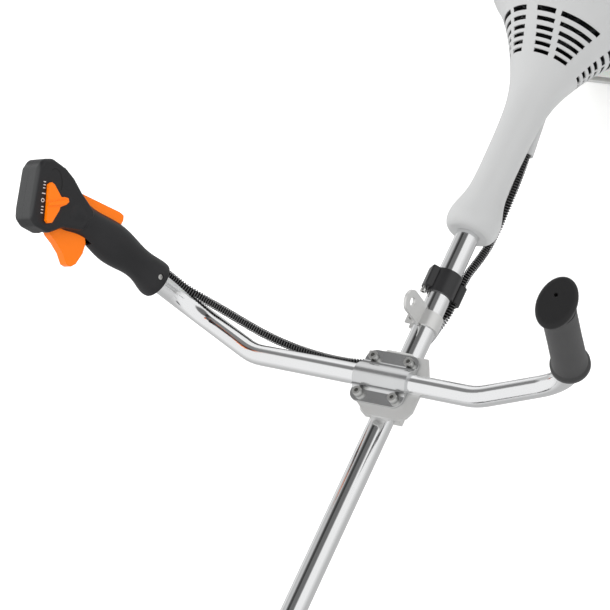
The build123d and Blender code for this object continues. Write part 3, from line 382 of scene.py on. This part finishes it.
# ---- Tank, filter, plug and bulb ----
# A blow moulded milky tank, an oiled foam filter, a glazed spark plug under its rubber boot, and the
# clear grey bulb of the primer.
milky = surface("milky_tank", (0.74, 0.74, 0.69), 0.32, grain=0.0015, depth=0.12, tone=0.03, light=0.25)
dress(milky, "fuel_tank")
dress(surface("oiled_foam", (0.05, 0.05, 0.055), 0.95, grain=0.0016, depth=1.0, tone=0.4, sheen=0.2),
      "air_filter_element")
dress(surface("glazed", (0.86, 0.86, 0.84), 0.12, grain=0.004, depth=0.03, tone=0.03, coat=0.5), "spark_plug")
dress(surface("boot_rubber", (0.022, 0.022, 0.023), 0.6, grain=0.0008, depth=0.3, tone=0.2), "plug_boot")
dress(surface("bulb_rubber", (0.09, 0.09, 0.095), 0.25, grain=0.0009, depth=0.1, tone=0.1), "primer_bulb")


# ---- Throttle conduit ----
# A corrugated black nylon sleeve over the throttle cable, 9.6 mm outside with a rib every 3.1 mm. It
# leaves the control grip at the back, runs along the bar, crosses under the clamp to the drive tube's
# clip, and enters the fan housing's neck.
CONDUIT_RADIUS = 0.0048
RIB_PITCH = 0.0031
RIB_DEPTH = 0.0016
LIP_RADIUS = 0.0006
CLAMP_AT = 0.547
CONDUIT_ROUTE = [
    (0.2886, -0.0494, 0.0938), (0.2835, -0.0499, 0.0755), (0.2730, -0.0488, 0.0560),
    (0.2505, -0.0452, 0.0405), (0.2220, -0.0385, 0.0350), (0.1930, -0.0305, 0.0315),
    (0.1650, -0.0235, 0.0280), (0.1390, -0.0196, 0.0225), (0.1120, -0.0175, 0.0170),
    (0.0840, -0.0170, 0.0130), (0.0580, -0.0185, 0.0105), (0.0380, -0.0260, 0.0035),
    (0.0225, -0.0400, -0.0098), (0.0130, -0.0560, -0.0180), (0.0060, -0.0740, -0.0205),
    (-0.0025, -0.0930, -0.0198), (-0.0073, -0.1120, -0.0182), (-0.0073, -0.1560, -0.0182),
    (-0.0082, -0.1800, -0.0260), (-0.0070, -0.2060, -0.0345), (-0.0090, -0.2330, -0.0328),
    (-0.0114, -0.2620, -0.0268), (-0.0124, -0.2910, -0.0236), (-0.0110, -0.3180, -0.0210),
]


def route_curve(name, points):
    """A smooth curve through the run of a cable or rope, with the route's points as its controls."""
    data = bpy.data.curves.new(name, "CURVE")
    data.dimensions = "3D"
    data.resolution_u = 12
    spline = data.splines.new("NURBS")
    spline.points.add(len(points) - 1)
    for control, (x, y, z) in zip(spline.points, points):
        control.co = (x, y, z, 1.0)
    spline.order_u = 3
    spline.use_endpoint_u = True
    made = bpy.data.objects.new(name, data)
    bpy.context.collection.objects.link(made)
    return made


def tree_input(tree, name, kind, value):
    made = tree.interface.new_socket(name, in_out="INPUT", socket_type=kind)
    if value is not None:
        made.default_value = value
    return made.identifier


def ribbed_tree():
    """A sleeve along a curve, with a round rib at every pitch."""
    tree = bpy.data.node_groups.new("ribbed_sleeve", "GeometryNodeTree")
    names = {}
    names["path"] = tree_input(tree, "Path", "NodeSocketObject", None)
    names["radius"] = tree_input(tree, "Outer Radius", "NodeSocketFloat", CONDUIT_RADIUS)
    names["pitch"] = tree_input(tree, "Rib Pitch", "NodeSocketFloat", RIB_PITCH)
    names["depth"] = tree_input(tree, "Rib Depth", "NodeSocketFloat", RIB_DEPTH)
    names["lip"] = tree_input(tree, "Lip Radius", "NodeSocketFloat", LIP_RADIUS)
    names["material"] = tree_input(tree, "Material", "NodeSocketMaterial", None)
    names["valley"] = tree_input(tree, "Valley Material", "NodeSocketMaterial", None)
    tree.interface.new_socket("Geometry", in_out="OUTPUT", socket_type="NodeSocketGeometry")
    given = node(tree, "NodeGroupInput")
    result = node(tree, "NodeGroupOutput")
    source = node(tree, "GeometryNodeObjectInfo")
    tree.links.new(given.outputs["Path"], source.inputs["Object"])
    steps = node(tree, "GeometryNodeResampleCurve", mode="LENGTH")
    tree.links.new(source.outputs["Geometry"], steps.inputs["Curve"])
    tree.links.new(given.outputs["Rib Pitch"], steps.inputs["Length"])
    valley = node(tree, "ShaderNodeMath", operation="SUBTRACT")
    tree.links.new(given.outputs["Outer Radius"], valley.inputs[0])
    tree.links.new(given.outputs["Rib Depth"], valley.inputs[1])
    crest = node(tree, "ShaderNodeMath", operation="SUBTRACT")
    tree.links.new(given.outputs["Outer Radius"], crest.inputs[0])
    tree.links.new(given.outputs["Lip Radius"], crest.inputs[1])
    core = node(tree, "GeometryNodeCurvePrimitiveCircle", mode="RADIUS")
    core.inputs["Resolution"].default_value = 20
    tree.links.new(valley.outputs["Value"], core.inputs["Radius"])
    sleeve = node(tree, "GeometryNodeCurveToMesh")
    sleeve.inputs["Fill Caps"].default_value = True
    tree.links.new(steps.outputs["Curve"], sleeve.inputs["Curve"])
    tree.links.new(core.outputs["Curve"], sleeve.inputs["Profile Curve"])
    hoop = node(tree, "GeometryNodeCurvePrimitiveCircle", mode="RADIUS")
    hoop.inputs["Resolution"].default_value = 20
    tree.links.new(crest.outputs["Value"], hoop.inputs["Radius"])
    lip = node(tree, "GeometryNodeCurvePrimitiveCircle", mode="RADIUS")
    lip.inputs["Resolution"].default_value = 7
    tree.links.new(given.outputs["Lip Radius"], lip.inputs["Radius"])
    rib = node(tree, "GeometryNodeCurveToMesh")
    tree.links.new(hoop.outputs["Curve"], rib.inputs["Curve"])
    tree.links.new(lip.outputs["Curve"], rib.inputs["Profile Curve"])
    along = node(tree, "GeometryNodeInputTangent")
    facing = node(tree, "FunctionNodeAlignRotationToVector", axis="Z")
    tree.links.new(along.outputs["Tangent"], facing.inputs["Vector"])
    ribs = node(tree, "GeometryNodeInstanceOnPoints")
    tree.links.new(steps.outputs["Curve"], ribs.inputs["Points"])
    tree.links.new(rib.outputs["Mesh"], ribs.inputs["Instance"])
    tree.links.new(facing.outputs["Rotation"], ribs.inputs["Rotation"])
    # The core between the ribs takes the valley material, the painted shade of the grooves.
    dark = node(tree, "GeometryNodeSetMaterial")
    tree.links.new(sleeve.outputs["Mesh"], dark.inputs["Geometry"])
    tree.links.new(given.outputs["Valley Material"], dark.inputs["Material"])
    real = node(tree, "GeometryNodeRealizeInstances")
    both = node(tree, "GeometryNodeJoinGeometry")
    tree.links.new(ribs.outputs["Instances"], both.inputs["Geometry"])
    tree.links.new(dark.outputs["Geometry"], both.inputs["Geometry"])
    tree.links.new(both.outputs["Geometry"], real.inputs["Geometry"])
    smooth = node(tree, "GeometryNodeSetShadeSmooth")
    tree.links.new(real.outputs["Geometry"], smooth.inputs["Geometry"])
    is_valley = node(tree, "GeometryNodeMaterialSelection")
    tree.links.new(given.outputs["Valley Material"], is_valley.inputs["Material"])
    is_rib = node(tree, "FunctionNodeBooleanMath", operation="NOT")
    tree.links.new(is_valley.outputs["Selection"], is_rib.inputs[0])
    finish = node(tree, "GeometryNodeSetMaterial")
    tree.links.new(smooth.outputs["Geometry"], finish.inputs["Geometry"])
    tree.links.new(is_rib.outputs["Boolean"], finish.inputs["Selection"])
    tree.links.new(given.outputs["Material"], finish.inputs["Material"])
    tree.links.new(finish.outputs["Geometry"], result.inputs["Geometry"])
    return tree, names


def grown(name, tree, values):
    """The plain mesh that a Geometry Nodes tree makes, as a new object at the origin."""
    seed = bpy.data.objects.new(name + "_seed", bpy.data.meshes.new(name + "_seed"))
    bpy.context.collection.objects.link(seed)
    modifier = seed.modifiers.new("nodes", "NODES")
    modifier.node_group = tree
    for identifier, value in values.items():
        modifier[identifier] = value
    bpy.context.view_layer.update()
    depsgraph = bpy.context.evaluated_depsgraph_get()
    mesh = bpy.data.meshes.new_from_object(seed.evaluated_get(depsgraph))
    mesh.name = name
    seed.modifiers.remove(modifier)
    bpy.data.objects.remove(seed)
    made = bpy.data.objects.new(name, mesh)
    bpy.context.collection.objects.link(made)
    return made


conduit_nylon = surface("conduit_nylon", (0.10, 0.10, 0.102), 0.28, grain=0.0008, depth=0.15, tone=0.2)
# The valleys between the ribs are the same black nylon painted almost pure black: painted shade in the grooves.
valley_nylon = surface("valley_nylon", (0.002, 0.002, 0.002), 0.6, grain=0.0008, depth=0.15, tone=0.2,
                       mirror=0.1)
placed_route = [(x, y + CLAMP_AT, z + SHAFT_HEIGHT) for x, y, z in CONDUIT_ROUTE]
conduit_path = route_curve("conduit_path", placed_route)
sleeve_tree, sleeve_names = ribbed_tree()
conduit = grown("ribbed_conduit", sleeve_tree, {
    sleeve_names["path"]: conduit_path,
    sleeve_names["radius"]: CONDUIT_RADIUS,
    sleeve_names["pitch"]: RIB_PITCH,
    sleeve_names["depth"]: RIB_DEPTH,
    sleeve_names["lip"]: LIP_RADIUS,
    sleeve_names["material"]: conduit_nylon,
    sleeve_names["valley"]: valley_nylon,
})
bpy.data.objects.remove(conduit_path)
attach(conduit, "root")
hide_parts("throttle_conduit")


# ---- Control grip ----
# Two moulded shells of near black nylon over the bar's end, joined on the grip's middle plane. The top
# is painted lighter grey as a painted highlight, and a fine line on the inner face follows the switch.
GRIP_AT = Vector((0.2685, 0.5095, 0.1765))
GRIP_UP = Vector((0.294, 0.031, 0.955)).normalized()
GRIP_FORWARD = (Vector((0.0, 1.0, 0.0)) - GRIP_UP * GRIP_UP.y).normalized()
GRIP_INNER = GRIP_UP.cross(GRIP_FORWARD)
GRIP_FRAME = Matrix((
    (GRIP_FORWARD.x, GRIP_INNER.x, GRIP_UP.x, GRIP_AT.x),
    (GRIP_FORWARD.y, GRIP_INNER.y, GRIP_UP.y, GRIP_AT.y),
    (GRIP_FORWARD.z, GRIP_INNER.z, GRIP_UP.z, GRIP_AT.z),
    (0.0, 0.0, 0.0, 1.0),
))
# The top of the grip is painted lighter grey, a painted highlight where it faces the light above.
LIT_TOP_SLOPE = 0.35
LIT_TOP_START = 0.2535
LIT_TOP_END = 0.2562


def grip_coordinates(tree):
    """The grip's own forward, inner and lengthwise coordinates of each point, as one vector."""
    place = node(tree, "ShaderNodeTexCoord")
    shifted = node(tree, "ShaderNodeVectorMath", operation="SUBTRACT")
    shifted.inputs[1].default_value = GRIP_AT
    tree.links.new(place.outputs["Object"], shifted.inputs[0])
    joined = node(tree, "ShaderNodeCombineXYZ")
    for socket, axis in zip("XYZ", (GRIP_FORWARD, GRIP_INNER, GRIP_UP)):
        along = node(tree, "ShaderNodeVectorMath", operation="DOT_PRODUCT")
        along.inputs[1].default_value = axis
        tree.links.new(shifted.outputs["Vector"], along.inputs[0])
        tree.links.new(along.outputs["Value"], joined.inputs[socket])
    return joined.outputs["Vector"]


def grip_finish():
    made = surface("grip_nylon", (0.013, 0.013, 0.0145), 0.44, grain=0.0007, depth=0.32, tone=0.12,
                   rough_spread=0.05, edge=0.0008, mirror=0.36)
    tree = made.node_tree
    shader = tree.nodes["Principled BSDF"]
    body_tint = shader.inputs["Base Color"].links[0].from_socket
    local = grip_coordinates(tree)
    height = node(tree, "ShaderNodeVectorMath", operation="DOT_PRODUCT")
    height.inputs[1].default_value = (LIT_TOP_SLOPE, 0.0, 1.0)
    tree.links.new(local, height.inputs[0])
    mask = node(tree, "ShaderNodeMapRange", interpolation_type="SMOOTHSTEP")
    mask.inputs["From Min"].default_value = LIT_TOP_START
    mask.inputs["From Max"].default_value = LIT_TOP_END
    tree.links.new(height.outputs["Value"], mask.inputs["Value"])
    # Painted highlight: the top of the grip is mixed to a lighter grey.
    blend = node(tree, "ShaderNodeMix", data_type="RGBA")
    blend.inputs["B"].default_value = (0.048, 0.049, 0.05, 1.0)
    tree.links.new(mask.outputs["Result"], blend.inputs["Factor"])
    tree.links.new(body_tint, blend.inputs["A"])
    tree.links.new(blend.outputs["Result"], shader.inputs["Base Color"])
    return made


dress(grip_finish(), "control_grip_inner", "control_grip_outer")


def grip_ribbon(name, outline, low, high, material):
    """A closed flat plate on the grip's inner face, from its outline in the grip's own plane."""
    points = []
    count = len(outline)
    for level in (low, high):
        points += [GRIP_FRAME @ Vector((x, level, z)) for x, z in outline]
    faces = [tuple(range(count, 2 * count)), tuple(reversed(range(count)))]
    faces += [(i, (i + 1) % count, count + (i + 1) % count, count + i) for i in range(count)]
    mesh = bpy.data.meshes.new(name)
    mesh.from_pydata(points, [], faces)
    mesh.materials.append(material)
    mesh.update()
    made = bpy.data.objects.new(name, mesh)
    bpy.context.collection.objects.link(made)
    return made


def stroke(points, width):
    """The outline of a line of even width along points in a plane."""
    left, right = [], []
    for index, point in enumerate(points):
        before = Vector(points[max(index - 1, 0)])
        after = Vector(points[min(index + 1, len(points) - 1)])
        run = (after - before).normalized()
        side = Vector((-run.y, run.x)) * width / 2
        left.append(tuple(Vector(point) + side))
        right.append(tuple(Vector(point) - side))
    return left + right[::-1]


GRIP_FACE = 0.016
SEAM_WIDTH = 0.0011
SEAM_SINK = 0.0004
SEAM_STAND = 0.00012
SEAM = [
    (-0.0200, 0.2460), (-0.0230, 0.2444), (-0.0245, 0.2412), (-0.0240, 0.2380), (-0.0225, 0.2345),
    (-0.0181, 0.2300), (-0.0130, 0.2270), (-0.0079, 0.2255),
]
seam_black = surface("seam_black", (0.004, 0.004, 0.004), 0.7, grain=0.0006, depth=0.1, tone=0.1)
seam = grip_ribbon("grip_seam_line", stroke(SEAM, SEAM_WIDTH), GRIP_FACE - SEAM_SINK, GRIP_FACE + SEAM_STAND,
                   seam_black)
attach(seam, "root")


# ---- Switch marks ----
# Pad printed white marks beside the stop switch: a bar for on, a ring for off and a scale of short
# ticks for the cold start position, thick enough here to be real ink.
INK = 0.00015
MARK_CENTRES = [
    (-0.0045, 0.2477), (-0.0015, 0.2464), (0.0015, 0.2451),
    (0.0195, 0.2372), (0.0225, 0.2359), (0.0255, 0.2346),
]
MARK_LINE = Vector((0.915, -0.403))


def printed_marks():
    white = surface("pad_print", (0.8, 0.8, 0.8), 0.5, grain=0.0005, depth=0.1, tone=0.05)
    across = Vector((-MARK_LINE.y, MARK_LINE.x))
    parts = []
    for centre in MARK_CENTRES:
        middle = Vector(centre)
        parts.append(stroke([middle - across * 0.0014, middle + across * 0.0014], 0.0010))
    bar = Vector((0.0067, 0.2427))
    parts.append(stroke([bar - across * 0.0022, bar + across * 0.0022], 0.0011))
    ring = Vector((0.0135, 0.2402))
    pieces = [grip_ribbon("mark", outline, GRIP_FACE - 0.0002, GRIP_FACE + INK, white) for outline in parts]
    for step in range(12):
        turn = [math.radians(30 * (step + k)) for k in (0, 1)]
        arc = [ring + Vector((math.cos(a), math.sin(a))) * 0.0018 for a in turn]
        pieces.append(grip_ribbon("mark", stroke(arc, 0.0008), GRIP_FACE - 0.0002, GRIP_FACE + INK, white))
    return joined_piece("switch_marks", pieces)


def joined_piece(name, pieces):
    """One mesh object from several, each with its place in its mesh."""
    vertices, faces, total = [], [], 0
    for piece in pieces:
        vertices += [v.co.copy() for v in piece.data.vertices]
        faces += [tuple(total + i for i in polygon.vertices) for polygon in piece.data.polygons]
        total = len(vertices)
    mesh = bpy.data.meshes.new(name)
    mesh.from_pydata(vertices, [], faces)
    for material in pieces[0].data.materials:
        mesh.materials.append(material)
    mesh.update()
    for piece in pieces:
        bpy.data.objects.remove(piece)
    made = bpy.data.objects.new(name, mesh)
    bpy.context.collection.objects.link(made)
    return made


marks = printed_marks()
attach(marks, "root")


# ---- Trigger, lockout and stop switch ----
# Bright orange mouldings: the throttle trigger, the lockout lever behind it, and the three armed stop
# switch that slides on the inner face. Even colour, satin, with soft corners.
# The orange glows a little by itself: painted light from emission, not from a lamp.
orange = surface("signal_orange", (0.93, 0.185, 0.0), 0.33, grain=0.0005, depth=0.08, tone=0.02,
                 rough_spread=0.04, edge=0.0011, mirror=0.25, glow=0.2)
dress(orange, "throttle_trigger", "throttle_lockout", "stop_switch")
dress(surface("spool_orange", (0.82, 0.15, 0.006), 0.4, grain=0.0006, depth=0.12, tone=0.03), "line_spool")


# ---- Rubber grip ----
# A slip-on grip of soft black rubber over the bar's left end, with a flange at the base and a thick
# oval end that has a small vent hole. Its skin is matt and slightly bloomed.
RUBBER_AT = Vector((-0.2105, 0.5095, 0.1765))
RUBBER_UP = Vector((-0.294, 0.031, 0.955)).normalized()
DARK_END_START = 0.168
DARK_END_FULL = 0.180
grip_rubber = surface("grip_rubber", (0.042, 0.042, 0.043), 0.62, grain=0.0012, depth=0.45, tone=0.22,
                      rough_spread=0.07, edge=0.0018, sheen=0.06, mirror=0.4)
rubber_tree = grip_rubber.node_tree
rubber_shader = rubber_tree.nodes["Principled BSDF"]
rubber_place = node(rubber_tree, "ShaderNodeTexCoord")
rubber_height = node(rubber_tree, "ShaderNodeVectorMath", operation="DOT_PRODUCT")
rubber_height.inputs[1].default_value = RUBBER_UP
rubber_mask = node(rubber_tree, "ShaderNodeMapRange", interpolation_type="SMOOTHSTEP")
rubber_mask.inputs["From Min"].default_value = RUBBER_AT.dot(RUBBER_UP) + DARK_END_START
rubber_mask.inputs["From Max"].default_value = RUBBER_AT.dot(RUBBER_UP) + DARK_END_FULL
rubber_blend = node(rubber_tree, "ShaderNodeMix", data_type="RGBA")
rubber_blend.inputs["B"].default_value = (0.008, 0.008, 0.0085, 1.0)
rubber_tree.links.new(rubber_place.outputs["Object"], rubber_height.inputs[0])
rubber_tree.links.new(rubber_height.outputs["Value"], rubber_mask.inputs["Value"])
rubber_tree.links.new(rubber_mask.outputs["Result"], rubber_blend.inputs["Factor"])
rubber_tree.links.new(rubber_shader.inputs["Base Color"].links[0].from_socket, rubber_blend.inputs["A"])
rubber_tree.links.new(rubber_blend.outputs["Result"], rubber_shader.inputs["Base Color"])
dress(grip_rubber, "left_grip")


# ---- Cutting line ----
# Extruded 2.4 mm nylon, wound on the spool in even turns, with two tails of about 128 mm that stick
# out of the head. It is clear orange, and stiff enough to stand straight.
line_nylon = surface("line_nylon", (0.78, 0.24, 0.03), 0.25, grain=0.0024, depth=0.5, tone=0.08, light=0.1)
dress(line_nylon, "wound_line", "cutting_line")


# ---- Feed spring ----
# The spring of drawn wire that holds the bump knob down. It closes as the knob is tapped; here it is
# built once as a fixed coil at its resting length.
OUTPUT_AXIS = Vector((0.0, math.sin(math.radians(30)), -math.cos(math.radians(30))))
HEAD_AT = Vector((0.0, 1.5, SHAFT_HEIGHT))
SPRING_RADIUS = 0.0114
SPRING_LOW = 0.0630
SPRING_HIGH = 0.0737
SPRING_TURNS = 5.5
SPRING_WIRE = 0.00062


def round_bar(name, centres, radius, sides, material):
    """A closed round bar along a line of points, with flat ends."""
    vertices, faces = [], []
    reference = Vector((0.31, 0.17, 0.93)).normalized()
    for index, centre in enumerate(centres):
        run = (centres[min(index + 1, len(centres) - 1)] - centres[max(index - 1, 0)]).normalized()
        first = run.cross(reference).normalized()
        second = run.cross(first)
        for side in range(sides):
            angle = 2 * math.pi * side / sides
            vertices.append(centre + (first * math.cos(angle) + second * math.sin(angle)) * radius)
    for index in range(len(centres) - 1):
        for side in range(sides):
            a = index * sides + side
            b = index * sides + (side + 1) % sides
            faces.append((a, a + sides, b + sides, b))
    last = (len(centres) - 1) * sides
    faces.append(tuple(range(sides)))
    faces.append(tuple(reversed(range(last, last + sides))))
    mesh = bpy.data.meshes.new(name)
    mesh.from_pydata(vertices, [], faces)
    for polygon in mesh.polygons[:-2]:
        polygon.use_smooth = True
    mesh.materials.append(material)
    mesh.update()
    made = bpy.data.objects.new(name, mesh)
    bpy.context.collection.objects.link(made)
    return made


spring_steel = surface("spring_wire", (0.42, 0.42, 0.43), 0.28, metallic=1.0, grain=0.0004, depth=0.1, tone=0.08)
side_way = Vector((1.0, 0.0, 0.0))
cross_way = OUTPUT_AXIS.cross(side_way)
spring_points = []
for step in range(int(SPRING_TURNS * 20) + 1):
    angle = 2 * math.pi * step / 20
    share = step / (SPRING_TURNS * 20)
    along = SPRING_LOW + (SPRING_HIGH - SPRING_LOW) * share
    ring_point = (side_way * math.cos(angle) + cross_way * math.sin(angle)) * SPRING_RADIUS
    spring_points.append(HEAD_AT + OUTPUT_AXIS * along + ring_point)
spring = round_bar("coil_spring", spring_points, SPRING_WIRE, 8, spring_steel)
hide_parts("feed_spring")
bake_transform(spring)


# ---- Starter rope ----
# Braided 3.2 mm polyester rope from the pulley's groove up to the starter handle. The pull draws it
# straight out of the cover; here it is built once as a fixed piece at rest.
rope_low, rope_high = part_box("starter_rope")
rope_x = (rope_low.x + rope_high.x) / 2
rope_y = (rope_low.y + rope_high.y) / 2
ROPE_SAMPLES = 60
STRAND_RADIUS = 0.00072
STRAND_REACH = 0.00082
BRAID_TURNS = 9


def braided_rope():
    made = surface("rope_braid", (0.8, 0.79, 0.74), 0.85, grain=0.0004, depth=0.8, tone=0.15, sheen=0.3)
    height = rope_high.z - rope_low.z
    strands = []
    for strand in range(6):
        way = 1 if strand % 2 else -1
        line = []
        for step in range(ROPE_SAMPLES + 1):
            share = step / ROPE_SAMPLES
            angle = way * 2 * math.pi * BRAID_TURNS * share + 2 * math.pi * (strand // 2) / 3
            reach = STRAND_REACH * (1 + 0.12 * way * math.cos(6 * math.pi * BRAID_TURNS * share))
            z = rope_low.z + 0.0006 + (height - 0.0012) * share
            line.append(Vector((rope_x + reach * math.cos(angle), rope_y + reach * math.sin(angle), z)))
        strands.append(round_bar("strand", line, STRAND_RADIUS, 6, made))
    rope = joined_piece("pull_rope", strands)
    for polygon in rope.data.polygons:
        polygon.use_smooth = True
    return rope


rope = braided_rope()
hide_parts("starter_rope")
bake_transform(rope)
